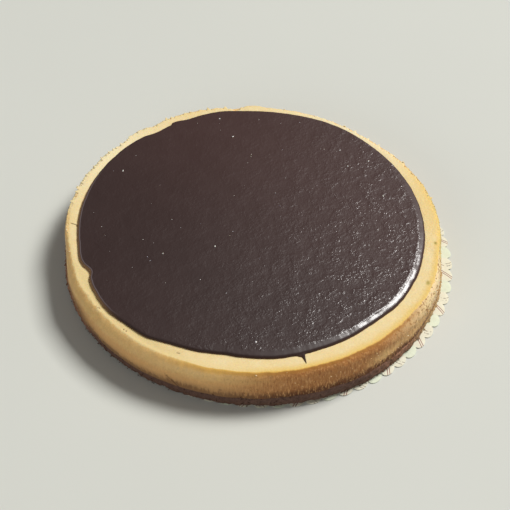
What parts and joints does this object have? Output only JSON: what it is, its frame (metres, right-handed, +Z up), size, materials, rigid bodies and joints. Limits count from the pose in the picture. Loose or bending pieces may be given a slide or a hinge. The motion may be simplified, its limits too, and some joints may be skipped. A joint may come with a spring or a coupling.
{
  "type": "baked cheesecake",
  "caption": "Round baked cheesecake with a rounded golden rim, a thin dark biscuit base, a poured dark chocolate top and a scalloped paper doily under it.",
  "frame": {"origin": "centre of the cake on the underside of the doily", "axes": "+Z up through the chocolate top; -Y is the front, towards the picture's camera; +X is the picture's right"},
  "size_m": [0.2579, 0.254, 0.0293],
  "materials": {
    "doily_paper": "coated paper, cream with fine printed ornament",
    "biscuit_crumb": "pressed dark biscuit crumb, rough and matt",
    "baked_cheese": "smooth pale rim, golden shoulder, browned porous side",
    "poured_chocolate": "dark poured chocolate, satin gloss with a fine ripple"
  },
  "bodies": {
    "root": {"paper_doily": "doily_paper", "biscuit_base": "biscuit_crumb", "cheese_filling": "baked_cheese", "chocolate_layer": "poured_chocolate"}
  },
  "joints": []
}
